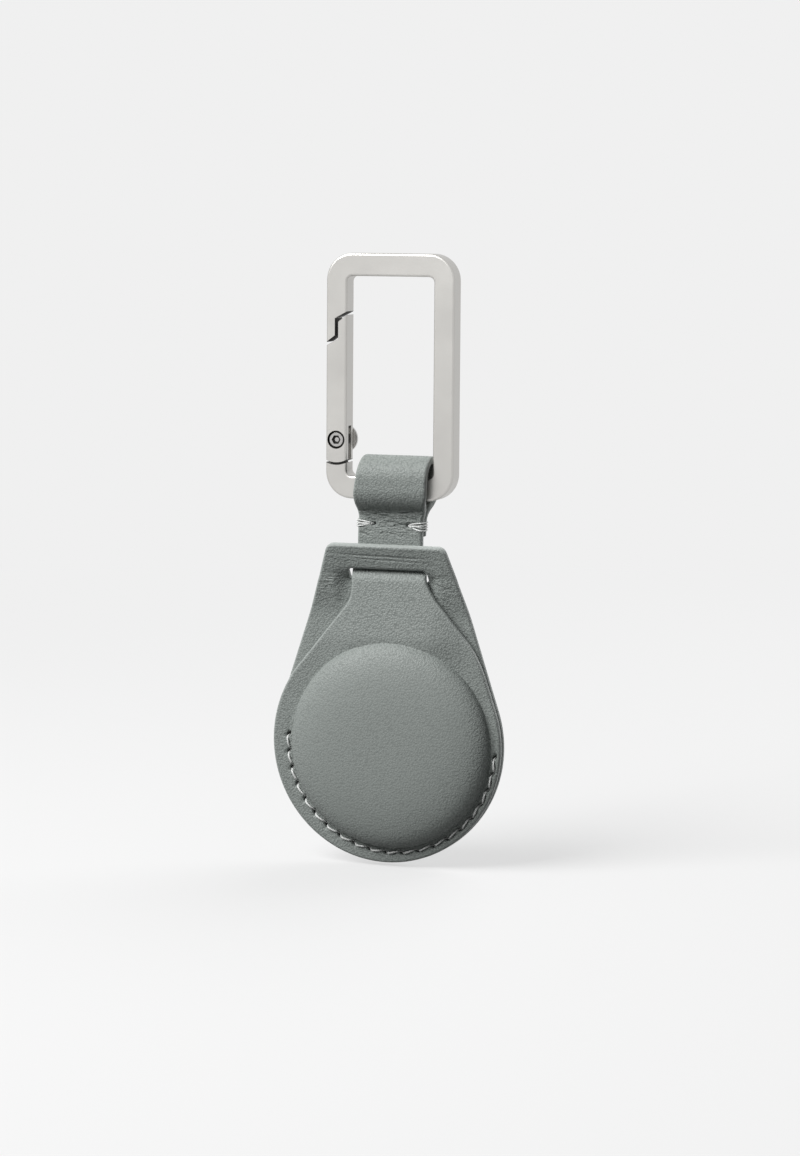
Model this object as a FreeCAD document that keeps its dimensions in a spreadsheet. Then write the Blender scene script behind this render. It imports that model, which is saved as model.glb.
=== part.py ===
"""Leather holder for a round tracker tag, hung from a small rectangular carabiner.

Frame: +X to the right seen from the front, +Y to the back, +Z up, in millimetres.
The origin is the hang point: the middle of the underside of the carabiner's top bar.
"""
import math
import os

import FreeCAD
import Part
import Sketcher

Vector = FreeCAD.Vector

# Driving dimensions, in millimetres, degrees or counts
SIZES = {
    # carabiner
    "frame_width": 23.6,
    "frame_height": 43.0,
    "side_bar": 3.8,
    "end_bar": 4.0,
    "frame_thickness": 3.8,
    "outer_corner": 4.7,
    "inner_corner": 1.0,
    "edge_round": 0.4,
    # nose joint, down from the hang point
    "nose_inner_drop": 6.2,
    "nose_slope": 1.2,
    "nose_step": 3.0,
    "nose_gap": 0.6,
    # gate hinge, up from the bottom of the frame
    "pin_rise": 10.3,
    "gate_end_radius": 4.0,
    "gate_end_gap": 0.4,
    "gate_swing": 35.0,
    "tongue_thickness": 1.2,
    "tongue_side_gap": 0.12,
    "tongue_width": 2.8,
    "cam_radius": 1.7,
    "cam_rise": 0.6,
    "cam_gap": 0.12,
    "barrel_radius": 1.0,
    "running_gap": 0.04,
    "barrel_head_radius": 2.6,
    "barrel_head_height": 0.8,
    "barrel_head_round": 0.35,
    "screw_radius": 0.6,
    "screw_head_radius": 1.35,
    "screw_head_height": 0.55,
    "screw_head_chamfer": 0.15,
    "screw_socket": 0.85,
    "screw_socket_depth": 0.4,
    "counterbore_radius": 1.6,
    "counterbore_depth": 0.65,
    # return spring in the gate
    "plunger_radius": 0.65,
    "plunger_length": 2.6,
    "plunger_tip_share": 0.9,
    "spring_wire": 0.2,
    "spring_turns": 6,
    "spring_length": 5.0,
    "spring_seat_gap": 0.05,
    # tag that the pocket is made for
    "tag_diameter": 31.9,
    "tag_thickness": 8.0,
    "tag_fit": 0.95,
    "tag_play": 0.8,
    # hides
    "leather": 1.4,
    "layer_gap": 0.1,
    "strap_side_gap": 1.15,
    "loop_clearance": 0.85,
    "loop_slack": 2.4,
    "loop_wrap": 55.0,
    "leg_bend": 2.2,
    "strap_bend": 2.2,
    "tail_below_tack": 2.3,
    "neck_radius": 10.0,
    "neck_below_slot": 1.0,
    "neck_length": 8.15,
    "mouth_gap": 1.4,
    "mouth_above_dome": 0.1,
    "mouth_run": 10.5,
    "mouth_bend": 9.0,
    "flange": 2.9,
    # rear flap
    "flap_below_tack": 3.95,
    "flap_bar": 3.8,
    "flap_side": 3.4,
    "flap_corner": 1.6,
    "flap_tilt": 15.0,
    "flap_stand": 0.25,
    "slot_height": 3.4,
    "slot_side_gap": 1.0,
    "slot_corner": 1.5,
    "slot_run": 2.6,
    # moulded pocket
    "dome_offset": 1.0,
    "dome_wall_height": 1.9,
    "dome_wall_lean": 0.7,
    "dome_shoulder": 4.4,
    "dome_crown": 0.7,
    # sewing
    "thread_radius": 0.22,
    "thread_hole_gap": 0.08,
    "seam_margin": 0.95,
    "seam_start": 174.0,
    "seam_end": 353.0,
    "seam_stitches": 20,
    "tack_below_bar": 6.3,
    "tack_length": 2.8,
    "tack_pitch": 0.8,
    "overrun": 2.0,
}

doc = FreeCAD.newDocument("tag_holder")
dims = doc.addObject("Spreadsheet::Sheet", "dims")
for row, (alias, value) in enumerate(SIZES.items(), start=1):
    dims.set(f"A{row}", alias)
    dims.set(f"B{row}", str(value))
    dims.setAlias(f"B{row}", alias)
doc.recompute()


def size(alias):
    """One driving dimension, read from the sheet."""
    return float(getattr(dims, alias))


def amount(expression):
    """Number that an expression on the sheet stands for."""
    return float(dims.evalExpression(expression))


def new_body(label):
    """Empty body that carries the sub-part's name."""
    body = doc.addObject("PartDesign::Body", label)
    body.Label = label
    return body


def add_sketch(body, name, role):
    """Sketch on one of the body's own origin planes."""
    sketch = body.newObject("Sketcher::SketchObject", name)
    plane = next(item for item in body.Origin.OriginFeatures if item.Role == role)
    sketch.AttachmentSupport = (plane, [""])
    sketch.MapMode = "FlatFace"
    return sketch


def pin_point(sketch, geometry, point, place):
    """Hold a point of the sketch at two expressions, across and up."""
    for kind, expression in zip(("DistanceX", "DistanceY"), place):
        index = sketch.addConstraint(
            Sketcher.Constraint(kind, -1, 1, geometry, point, amount(expression))
        )
        sketch.setExpression(f"Constraints[{index}]", expression)


def add_outline(sketch, corners, arc_after=None, arc_radius=None):
    """Closed outline through corners given as expressions.

    The side after corner arc_after bulges downwards as an arc of arc_radius.
    """
    points = [Vector(amount(across), amount(up), 0) for across, up in corners]
    first = sketch.GeometryCount
    for index, start in enumerate(points):
        end = points[(index + 1) % len(points)]
        if index == arc_after:
            radius = amount(arc_radius)
            middle = (start + end) * 0.5
            half = (end - start).Length / 2
            low = Vector(middle.x, middle.y + math.sqrt(radius**2 - half**2) - radius, 0)
            sketch.addGeometry(Part.ArcOfCircle(start, low, end))
            bow = sketch.addConstraint(Sketcher.Constraint("Radius", first + index, radius))
            sketch.setExpression(f"Constraints[{bow}]", arc_radius)
        else:
            sketch.addGeometry(Part.LineSegment(start, end))
    for index, corner in enumerate(corners):
        previous = first + (index - 1) % len(corners)
        sketch.addConstraint(Sketcher.Constraint("Coincident", previous, 2, first + index, 1))
        pin_point(sketch, first + index, 1, corner)


def add_circle(sketch, place, radius):
    """Circle with its centre and radius held by expressions."""
    centre = Vector(amount(place[0]), amount(place[1]), 0)
    index = sketch.addGeometry(Part.Circle(centre, Vector(0, 0, 1), amount(radius)))
    pin_point(sketch, index, 3, place)
    bow = sketch.addConstraint(Sketcher.Constraint("Radius", index, amount(radius)))
    sketch.setExpression(f"Constraints[{bow}]", radius)


def pad(body, sketch, length):
    """Pad grown equally to both sides of its sketch."""
    feature = body.newObject("PartDesign::Pad", f"{sketch.Name}_pad")
    feature.Profile = sketch
    feature.setExpression("Length", length)
    feature.Midplane = True
    doc.recompute()
    return feature


def pocket(body, sketch, length=None, midplane=True, reverse=False):
    """Pocket through everything, or to a length to one side; it has to remove material."""
    before = body.Shape.Volume
    feature = body.newObject("PartDesign::Pocket", f"{sketch.Name}_pocket")
    feature.Profile = sketch
    feature.Midplane = midplane
    feature.Reversed = reverse
    if length is None:
        feature.Type = "ThroughAll"
    else:
        feature.setExpression("Length", length)
    doc.recompute()
    if not body.Shape.Volume < before:
        raise RuntimeError(f"{feature.Name} removes nothing")
    return feature


def fillet(body, base, radius, wanted):
    """Fillet of the edges that the test picks out."""
    names = [f"Edge{i}" for i, edge in enumerate(base.Shape.Edges, start=1) if wanted(edge)]
    feature = body.newObject("PartDesign::Fillet", f"{base.Name}_fillet")
    feature.Base = (base, names)
    feature.setExpression("Radius", radius)
    doc.recompute()
    return feature


def runs_along(edge, axis):
    """True for a straight edge parallel to an axis."""
    if not isinstance(edge.Curve, Part.Line):
        return False
    return edge.Curve.Direction.cross(axis).Length < 1e-6


# Expressions that several pieces of the carabiner share
HALF_WIDTH = "dims.frame_width / 2"
BAR_INNER = "(dims.frame_width / 2 - dims.side_bar)"
FRAME_TOP = "dims.end_bar"
FRAME_BOTTOM = "(dims.end_bar - dims.frame_height)"
WINDOW_BOTTOM = "(2 * dims.end_bar - dims.frame_height)"
PIN_X = "-(dims.frame_width - dims.side_bar) / 2"
PIN_Z = "(dims.end_bar - dims.frame_height + dims.pin_rise)"
STEP_X = "(-(dims.frame_width - dims.side_bar) / 2 - dims.nose_gap / 2)"
CHEEK_SLOT = "(dims.tongue_thickness + 2 * dims.tongue_side_gap)"
CAM_TOP = "(dims.cam_radius + dims.cam_rise + dims.cam_gap)"


def nose_line(gap):
    """Stepped nose joint from the inner side to the outer side, lowered and set inwards by a gap."""
    upper = f"-dims.nose_inner_drop - {gap}"
    return [
        (f"-{BAR_INNER}", upper),
        (f"{STEP_X} + {gap}", f"{upper} - dims.nose_slope"),
        (f"{STEP_X} + {gap}", f"{upper} - dims.nose_slope - dims.nose_step"),
        (f"-{HALF_WIDTH}", f"{upper} - 2 * dims.nose_slope - dims.nose_step"),
    ]


def build_frame():
    """Bent bar with the gate's opening in its left side and a tongue for the hinge."""
    body = new_body("carabiner_frame")
    ring = add_sketch(body, "frame_ring", "XZ_Plane")
    for left, right, bottom, top in (
        (f"-{HALF_WIDTH}", HALF_WIDTH, FRAME_BOTTOM, FRAME_TOP),
        (f"-{BAR_INNER}", BAR_INNER, WINDOW_BOTTOM, "0"),
    ):
        add_outline(ring, [(left, bottom), (right, bottom), (right, top), (left, top)])
    base = pad(body, ring, "dims.frame_thickness")

    def upright_at(across):
        x = amount(across)
        return lambda edge: runs_along(edge, Vector(0, 1, 0)) and math.isclose(abs(edge.CenterOfMass.x), x)

    def on_face(edge):
        face_y = size("frame_thickness") / 2
        return all(math.isclose(abs(vertex.Point.y), face_y) for vertex in edge.Vertexes)

    corners = fillet(body, base, "dims.inner_corner", upright_at(BAR_INNER))
    corners = fillet(body, corners, "dims.outer_corner", upright_at(HALF_WIDTH))
    fillet(body, corners, "dims.edge_round", on_face)
    opening = add_sketch(body, "gate_opening", "XZ_Plane")
    inside = f"-{BAR_INNER} + dims.side_bar / 2"
    outside = f"-{HALF_WIDTH} - dims.overrun"
    nose = nose_line("0")
    add_outline(opening, [(inside, nose[0][1])] + nose
                + [(outside, nose[-1][1]), (outside, PIN_Z), (inside, PIN_Z)])
    pocket(body, opening)
    seat = add_sketch(body, "gate_end_seat", "XZ_Plane")
    add_circle(seat, (PIN_X, PIN_Z), "dims.gate_end_radius + dims.gate_end_gap")
    pocket(body, seat)
    add_tongue(body)
    eye = add_sketch(body, "tongue_eye", "XZ_Plane")
    add_circle(eye, (PIN_X, PIN_Z), "dims.barrel_radius + dims.running_gap")
    pocket(body, eye)
    return body


def add_tongue(body):
    """Tongue of the hinge: its end is a cam that rises evenly as the gate swings in."""
    tongue = add_sketch(body, "tongue", "XZ_Plane")
    pin = Vector(amount(PIN_X), amount(PIN_Z), 0)
    half = size("tongue_width") / 2
    foot = -size("gate_end_radius") - size("gate_end_gap") - size("overrun") / 2

    def cam(turn_share):
        turn = math.radians(size("gate_swing")) * turn_share
        radius = size("cam_radius") + size("cam_rise") * max(turn_share, 0)
        return pin + Vector(radius * math.sin(turn), radius * math.cos(turn), 0)

    left_share = -math.degrees(math.asin(half / size("cam_radius"))) / size("gate_swing")
    left = cam(left_share)
    right = cam(1)
    bottom_left = pin + Vector(-half, foot, 0)
    bottom_right = pin + Vector(half, foot, 0)
    shoulder = pin + Vector(half, 0, 0)
    sides = (
        Part.LineSegment(bottom_right, shoulder),
        Part.LineSegment(shoulder, right),
        Part.ArcOfCircle(right, cam(0.5), cam(0)),
        Part.ArcOfCircle(cam(0), cam(left_share / 2), left),
        Part.LineSegment(left, bottom_left),
        Part.LineSegment(bottom_left, bottom_right),
    )
    for side in sides:
        tongue.addGeometry(side)
    pad(body, tongue, "dims.tongue_thickness")


def build_gate():
    """Swinging side of the carabiner: a clevis round the tongue, bored for its spring."""
    body = new_body("gate")
    bar = add_sketch(body, "gate_bar", "XZ_Plane")
    end_rise = "sqrt(dims.gate_end_radius ^ 2 - (dims.side_bar / 2) ^ 2)"
    corners = [(f"-{HALF_WIDTH}", f"{PIN_Z} - {end_rise}"), (f"-{BAR_INNER}", f"{PIN_Z} - {end_rise}")]
    add_outline(bar, corners + nose_line("dims.nose_gap"), 0, "dims.gate_end_radius")
    base = pad(body, bar, "dims.frame_thickness")

    def long_edge(edge):
        return runs_along(edge, Vector(0, 0, 1)) and edge.Length > size("nose_step") + size("nose_slope")

    fillet(body, base, "dims.edge_round", long_edge)
    clevis = add_sketch(body, "clevis_slot", "YZ_Plane")
    low = f"{PIN_Z} - dims.gate_end_radius - dims.overrun"
    high = f"{PIN_Z} + {CAM_TOP}"
    add_outline(clevis, [(f"-{CHEEK_SLOT} / 2", low), (f"{CHEEK_SLOT} / 2", low),
                         (f"{CHEEK_SLOT} / 2", high), (f"-{CHEEK_SLOT} / 2", high)])
    pocket(body, clevis)
    eye = add_sketch(body, "gate_eye", "XZ_Plane")
    add_circle(eye, (PIN_X, PIN_Z), "dims.barrel_radius")
    pocket(body, eye)
    head_seat = add_sketch(body, "screw_head_seat", "XZ_Plane")
    head_seat.setExpression("AttachmentOffset.Base.z", "dims.frame_thickness / 2 + dims.overrun")
    add_circle(head_seat, (PIN_X, PIN_Z), "dims.counterbore_radius")
    pocket(body, head_seat, "dims.counterbore_depth + dims.overrun", midplane=False)
    bore = add_sketch(body, "spring_bore", "XY_Plane")
    bore.setExpression("AttachmentOffset.Base.z", f"{PIN_Z} + dims.cam_radius")
    add_circle(bore, (PIN_X, "0"), "dims.plunger_radius + dims.running_gap")
    depth = "dims.plunger_length + dims.spring_length + dims.cam_gap + 2 * dims.spring_seat_gap"
    pocket(body, bore, depth, midplane=False, reverse=True)
    return body


def primitive(kind, name, place, turn=None, **lengths):
    """Part primitive with its lengths and place held by expressions."""
    item = doc.addObject(kind, name)
    for key, expression in lengths.items():
        item.setExpression(key, expression)
    item.Placement = FreeCAD.Placement(Vector(), turn or FreeCAD.Rotation())
    for axis, expression in zip("xyz", place):
        item.setExpression(f"Placement.Base.{axis}", expression)
    return item


def boolean(kind, name, base, tool):
    """Boolean of two objects of the document."""
    item = doc.addObject(kind, name)
    item.Base = base
    item.Tool = tool
    return item


def dressed(kind, name, base, cut, wanted):
    """Fillet or chamfer of a primitive's picked edges."""
    doc.recompute()
    item = doc.addObject(kind, name)
    item.Base = base
    item.Edges = [(i, cut, cut) for i, edge in enumerate(base.Shape.Edges, start=1) if wanted(edge)]
    return item


ALONG_Y = FreeCAD.Rotation(Vector(1, 0, 0), -90)


def rim_at(y):
    """Test for a round edge in the plane at y."""
    return lambda edge: isinstance(edge.Curve, Part.Circle) and math.isclose(edge.CenterOfMass.y, y)


def build_pivot():
    """Hinge pin in two halves: a headed barrel from behind and a socket screw from the front."""
    face = "dims.frame_thickness / 2"
    seat = f"(-{face} + dims.counterbore_depth)"
    head = primitive("Part::Cylinder", "barrel_head", (PIN_X, face, PIN_Z), ALONG_Y,
                     Radius="dims.barrel_head_radius", Height="dims.barrel_head_height")
    head_back = size("frame_thickness") / 2 + size("barrel_head_height")
    head = dressed("Part::Fillet", "barrel_head_rounded", head,
                   size("barrel_head_round"), rim_at(head_back))
    sleeve = primitive("Part::Cylinder", "barrel_sleeve", (PIN_X, seat, PIN_Z), ALONG_Y,
                       Radius="dims.barrel_radius", Height=f"{face} - {seat}")
    whole = boolean("Part::Fuse", "barrel_whole", head, sleeve)
    bore = primitive("Part::Cylinder", "barrel_bore", (PIN_X, f"{seat} - dims.overrun", PIN_Z), ALONG_Y,
                     Radius="dims.screw_radius", Height=f"{face} - {seat} + dims.overrun")
    barrel = boolean("Part::Cut", "pivot_barrel", whole, bore)
    screw_front = f"({seat} - dims.screw_head_height)"
    cap = primitive("Part::Cylinder", "screw_cap", (PIN_X, screw_front, PIN_Z), ALONG_Y,
                    Radius="dims.screw_head_radius", Height="dims.screw_head_height")
    cap = dressed("Part::Chamfer", "screw_cap_eased", cap,
                  size("screw_head_chamfer"), rim_at(amount(screw_front)))
    shank = primitive("Part::Cylinder", "screw_shank", (PIN_X, seat, PIN_Z), ALONG_Y,
                      Radius="dims.screw_radius", Height=f"{face} - {seat}")
    solid = boolean("Part::Fuse", "screw_whole", cap, shank)
    socket = primitive("Part::Prism", "screw_hex", (PIN_X, f"{screw_front} - dims.overrun", PIN_Z), ALONG_Y,
                       Circumradius="dims.screw_socket", Height="dims.screw_socket_depth + dims.overrun")
    socket.Polygon = 6
    screw = boolean("Part::Cut", "pivot_screw", solid, socket)
    return [barrel, screw]


def build_plunger():
    """Round-ended pin that the spring holds against the tongue's cam."""
    foot = f"{PIN_Z} + dims.cam_radius + dims.cam_gap"
    pin = primitive("Part::Cylinder", "plunger_pin", (PIN_X, "0", foot),
                    Radius="dims.plunger_radius", Height="dims.plunger_length")
    tip = amount(foot)
    tip_round = size("plunger_tip_share") * size("plunger_radius")
    return dressed("Part::Fillet", "gate_plunger", pin, tip_round,
                   lambda edge: isinstance(edge.Curve, Part.Circle)
                   and math.isclose(edge.CenterOfMass.z, tip))


def add_piece(label, shape):
    """Document object for a piece whose shape is worked out here."""
    item = doc.addObject("Part::Feature", label)
    item.Label = label
    item.Shape = shape
    return item


def tangent_arcs(start, start_way, end, end_way):
    """Two arcs that leave start and reach end along given directions and meet smoothly."""
    span = end - start
    ways = start_way + end_way
    turn = 2 * (1 - start_way.dot(end_way))
    reach = (math.sqrt(span.dot(ways) ** 2 + turn * span.dot(span)) - span.dot(ways)) / turn
    first = start + start_way * reach
    last = end - end_way * reach
    joint = (first + last) * 0.5
    arcs = []
    for near, corner, far in ((start, first, joint), (joint, last, end)):
        chord = far - near
        weight = math.cos(chord.getAngle(corner - near))
        middle = (near + far + corner * (2 * weight)) * (1 / (2 + 2 * weight))
        arcs.append(Part.Arc(near, middle, far).toShape())
    return arcs


def build_spring():
    """Coil spring between the plunger and the end of its bore."""
    wire = size("spring_wire")
    turns = int(size("spring_turns"))
    coil_radius = size("plunger_radius") - wire / 2
    rise = size("spring_length") - wire
    plunger_top = amount(PIN_Z) + size("cam_radius") + size("cam_gap") + size("plunger_length")
    foot = plunger_top + size("spring_seat_gap") + wire / 2
    axis = Vector(amount(PIN_X), 0, foot)
    steps = 4 * turns

    def point(step):
        angle = 2 * math.pi * turns * step / steps
        around = Vector(coil_radius * math.cos(angle), coil_radius * math.sin(angle), 0)
        return axis + around + Vector(0, 0, rise * step / steps)

    def way(step):
        angle = 2 * math.pi * turns * step / steps
        per_turn = 2 * math.pi * turns
        forward = Vector(-coil_radius * math.sin(angle) * per_turn,
                         coil_radius * math.cos(angle) * per_turn, rise)
        return forward.normalize()

    edges = []
    for step in range(steps):
        edges += tangent_arcs(point(step), way(step), point(step + 1), way(step + 1))
    ring = Part.Wire(Part.Circle(point(0), way(0), wire / 2).toShape())
    coil = Part.Wire(edges).makePipeShell([ring], True, False)
    print("spring gap between turns", round(rise / turns - wire, 3))
    return add_piece("gate_spring", coil)


# Depths of the hides' faces and middles, from front to back
FRONT_FACE = -(2 * size("leather") + size("layer_gap"))
FRONT_MIDDLE = FRONT_FACE + size("leather") / 2
REAR_MIDDLE = -size("leather") / 2
LEG_MIDDLE = (size("leather") + size("layer_gap")) / 2

# Half widths of the strap, its slot and the flap, outwards from the carabiner's window
STRAP_HALF = size("frame_width") / 2 - size("side_bar") - size("strap_side_gap")
SLOT_HALF = STRAP_HALF + size("slot_side_gap")
FLAP_HALF = SLOT_HALF + size("flap_side")

# Moulded pocket round the tag
DOME_RADIUS = size("tag_diameter") / 2 + size("tag_fit") + size("leather")
DOME_HEIGHT = (size("tag_thickness") + size("tag_play")) / 2
PANEL_RADIUS = DOME_RADIUS + size("flange")

# Heights, down from the axis of the carabiner's bottom bar
BAR_Z = 1.5 * size("end_bar") - size("frame_height")
TACK_Z = BAR_Z - size("tack_below_bar")
FLAP_TOP = TACK_Z - size("flap_below_tack")
SLOT_TOP = FLAP_TOP - size("flap_bar")
SLOT_MIDDLE = SLOT_TOP - size("slot_height") / 2
PANEL_Z = SLOT_MIDDLE - size("neck_length") - PANEL_RADIUS
PANEL_FOOT = PANEL_Z - PANEL_RADIUS - size("overrun")


def bent_strip(corners, bends):
    """Side face of a bent hide: straight runs between corners (y, z), each rounded to its bend."""
    points = [Vector(0, y, z) for y, z in corners]
    half = size("leather") / 2
    ways = [(after - before).normalize() for before, after in zip(points, points[1:])]
    normals = [Vector(0, -way.z, way.y) for way in ways]

    def side(offset):
        here = points[0] + normals[0] * offset
        edges = []
        for index, bend in enumerate(bends, start=1):
            before, after = ways[index - 1], ways[index]
            turn = math.copysign(1, before.y * after.z - before.z * after.y)
            tangent = bend * math.tan(before.getAngle(after) / 2)
            start = points[index] - before * tangent
            end = points[index] + after * tangent
            centre = start + normals[index - 1] * (turn * bend)
            outward = (points[index] - centre).normalize()
            arc_start = start + normals[index - 1] * offset
            arc_end = end + normals[index] * offset
            arc_middle = centre + outward * (bend - turn * offset)
            if (arc_start - here).Length > Part.Precision.confusion() * 10:
                edges.append(Part.LineSegment(here, arc_start).toShape())
            else:
                arc_start = here
            edges.append(Part.Arc(arc_start, arc_middle, arc_end).toShape())
            here = arc_end
        finish = points[-1] + normals[-1] * offset
        edges.append(Part.LineSegment(here, finish).toShape())
        return edges

    left = side(half)
    right = side(-half)
    caps = [
        Part.LineSegment(left[0].firstVertex().Point, right[0].firstVertex().Point).toShape(),
        Part.LineSegment(left[-1].lastVertex().Point, right[-1].lastVertex().Point).toShape(),
    ]
    return Part.Face(Part.Wire(Part.__sortEdges__(left + right + caps)))


def hide_from(face, outline):
    """Bent strip cut to an outline in the XZ plane."""
    reach = PANEL_RADIUS + size("overrun")
    sheet = face.extrude(Vector(2 * reach, 0, 0))
    sheet.translate(Vector(-reach, 0, 0))
    deep = size("frame_width")
    blank = Part.Face(outline).extrude(Vector(0, 2 * deep, 0))
    blank.translate(Vector(0, -deep, 0))
    return sheet.common(blank)


def dome(radius, height, base_y, front, crown, skirt):
    """Solid of the moulded dome, turned round the pocket's axis from a flat foot."""
    lean = size("dome_wall_lean")
    wall = size("dome_wall_height")
    shoulder_radius = radius - lean - size("dome_shoulder")
    shoulder_height = height - crown
    side = -1 if front else 1

    def at(across, up):
        return Vector(size("dome_offset") + across, base_y + side * up, PANEL_Z)

    foot = at(radius, 0)
    wall_top = at(radius - lean, wall)
    crown_edge = at(shoulder_radius, shoulder_height)
    top = at(0, height)
    if crown > 0:
        sphere = (shoulder_radius**2 + crown**2) / (2 * crown)
        halfway = at(shoulder_radius / 2, height - sphere + math.sqrt(sphere**2 - (shoulder_radius / 2) ** 2))
        cap = Part.Arc(crown_edge, halfway, top)
        cap_way = Vector(crown - sphere, side * shoulder_radius, 0).normalize()
    else:
        cap = Part.LineSegment(crown_edge, top)
        cap_way = Vector(-1, 0, 0)
    edges = tangent_arcs(wall_top, (wall_top - foot).normalize(), crown_edge, cap_way)
    edges += [
        cap.toShape(),
        Part.LineSegment(at(0, -skirt), at(radius, -skirt)).toShape(),
        Part.LineSegment(at(radius, -skirt), foot).toShape(),
        Part.LineSegment(foot, wall_top).toShape(),
        Part.LineSegment(top, at(0, -skirt)).toShape(),
    ]
    profile = Part.Face(Part.Wire(Part.__sortEdges__(edges)))
    return profile.revolve(at(0, 0), Vector(0, 1, 0), 360)


def moulded(hide, face_y, front, crown):
    """Hide with the pocket's dome pressed into it."""
    leather = size("leather")
    outer = dome(DOME_RADIUS, DOME_HEIGHT, face_y, front, crown, leather)
    inner_base = face_y + leather if front else face_y - leather
    inner = dome(DOME_RADIUS - leather, DOME_HEIGHT, inner_base, front, crown, size("overrun"))
    return hide.fuse(outer).cut(inner).removeSplitter()


def seam_points():
    """Needle holes of the seam, evenly spaced round the foot of the dome."""
    radius = DOME_RADIUS + size("seam_margin")
    count = int(size("seam_stitches"))
    start = math.radians(size("seam_start"))
    sweep = math.radians(size("seam_end")) - start
    places = []
    for index in range(count + 1):
        angle = start + sweep * index / count
        places.append((size("dome_offset") + radius * math.cos(angle),
                       radius * math.sin(angle) + PANEL_Z))
    return places


def tack_holes():
    """Inner ends of the tack stitches, as (x, z, outward side)."""
    inset = STRAP_HALF - size("tack_length")
    rows = (TACK_Z, TACK_Z - size("tack_pitch"))
    return [(side * inset, z, side) for side in (-1, 1) for z in rows]


def needle_holes(places):
    """Cylinders along Y that the needle leaves in the hides."""
    radius = size("thread_radius") + size("thread_hole_gap")
    deep = size("frame_width")
    pins = [Part.makeCylinder(radius, 2 * deep, Vector(x, -deep, z), Vector(0, 1, 0)) for x, z in places]
    return Part.makeCompound(pins)


def on_circle(centre, radius, angle):
    """Point (x, z) of a circle at an angle."""
    return (centre[0] + radius * math.cos(angle), centre[1] + radius * math.sin(angle))


def arc_between(centre, radius, start_angle, end_angle):
    """Arc in the XZ plane from one angle to another."""
    angles = (start_angle, (start_angle + end_angle) / 2, end_angle)
    points = [on_circle(centre, radius, angle) for angle in angles]
    return Part.Arc(*[Vector(x, 0, z) for x, z in points]).toShape()


def line_between(start, end):
    """Straight edge in the XZ plane."""
    return Part.LineSegment(Vector(start[0], 0, start[1]), Vector(end[0], 0, end[1])).toShape()


def mirrored(edges):
    """Edges with their mirror images across the YZ plane."""
    return edges + [edge.mirror(Vector(), Vector(1, 0, 0)) for edge in edges]


def front_outline():
    """Round panel that narrows through a hollow neck into the strap."""
    neck = size("neck_radius")
    neck_centre = (STRAP_HALF + neck, SLOT_TOP - size("neck_below_slot"))
    panel_centre = (0, PANEL_Z)
    across = neck_centre[0] - panel_centre[0]
    up = neck_centre[1] - panel_centre[1]
    angle = math.atan2(up, across) - math.acos((PANEL_RADIUS + neck) / math.hypot(across, up))
    top = size("overrun")
    panel_side = on_circle(panel_centre, PANEL_RADIUS, angle)
    right = [
        arc_between(panel_centre, PANEL_RADIUS, -math.pi / 2, angle),
        line_between(panel_side, on_circle(neck_centre, neck, math.pi + angle)),
        arc_between(neck_centre, neck, math.pi + angle, math.pi),
        line_between((STRAP_HALF, neck_centre[1]), (STRAP_HALF, top)),
        line_between((STRAP_HALF, top), (0, top)),
    ]
    return Part.Wire(Part.__sortEdges__(mirrored(right)))


def build_front():
    """One hide: moulded front panel, neck, strap, loop round the bottom bar and sewn tail."""
    loop_half = size("frame_thickness") / 2 + size("loop_clearance") + size("leather") / 2
    loop_top = BAR_Z + size("end_bar") / 2 + size("loop_slack") + size("leather") / 2
    wrap = math.radians(size("loop_wrap"))
    loop_foot = BAR_Z - loop_half * math.tan(wrap / 2)
    leg_top = loop_foot - (loop_half - LEG_MIDDLE) / math.tan(wrap)
    half_run = size("slot_run") / 2
    mouth_z = PANEL_Z + DOME_RADIUS + size("mouth_above_dome")
    corners = [
        (FRONT_MIDDLE, PANEL_FOOT),
        (FRONT_MIDDLE, mouth_z - size("mouth_run")),
        (FRONT_MIDDLE - size("mouth_gap"), mouth_z),
        (FRONT_MIDDLE, SLOT_MIDDLE - half_run),
        (-LEG_MIDDLE, SLOT_MIDDLE + half_run),
        (-LEG_MIDDLE, leg_top),
        (-loop_half, loop_foot),
        (-loop_half, loop_top),
        (loop_half, loop_top),
        (loop_half, loop_foot),
        (LEG_MIDDLE, leg_top),
        (LEG_MIDDLE, TACK_Z - size("tail_below_tack")),
    ]
    mouth = size("mouth_bend")
    strap = size("strap_bend")
    leg = size("leg_bend")
    bends = [mouth, mouth, strap, strap, leg] + [loop_half] * 4 + [leg]
    hide = hide_from(bent_strip(corners, bends), front_outline())
    hide = moulded(hide, FRONT_FACE, True, size("dome_crown"))
    holes = seam_points() + [(x, z) for x, z, _ in tack_holes()]
    return add_piece("front_leather", hide.cut(needle_holes(holes)))


def rear_outline():
    """Round panel whose sides run straight to the flap's top bar."""
    corner = size("flap_corner")
    panel_centre = (0, PANEL_Z)
    corner_centre = (FLAP_HALF - corner, FLAP_TOP - corner)
    across = corner_centre[0] - panel_centre[0]
    up = corner_centre[1] - panel_centre[1]
    angle = math.atan2(up, across) - math.acos((PANEL_RADIUS - corner) / math.hypot(across, up))
    panel_side = on_circle(panel_centre, PANEL_RADIUS, angle)
    right = [
        arc_between(panel_centre, PANEL_RADIUS, -math.pi / 2, angle),
        line_between(panel_side, on_circle(corner_centre, corner, angle)),
        arc_between(corner_centre, corner, angle, math.pi / 2),
        line_between((corner_centre[0], FLAP_TOP), (0, FLAP_TOP)),
    ]
    return Part.Wire(Part.__sortEdges__(mirrored(right)))


def strap_slot():
    """Cutter for the round-cornered slot that the strap passes through."""
    deep = size("frame_width")
    low = SLOT_TOP - size("slot_height")
    block = Part.makeBox(2 * SLOT_HALF, 2 * deep, size("slot_height"), Vector(-SLOT_HALF, -deep, low))
    upright = [edge for edge in block.Edges if runs_along(edge, Vector(0, 1, 0))]
    return block.makeFillet(size("slot_corner"), upright)


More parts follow.
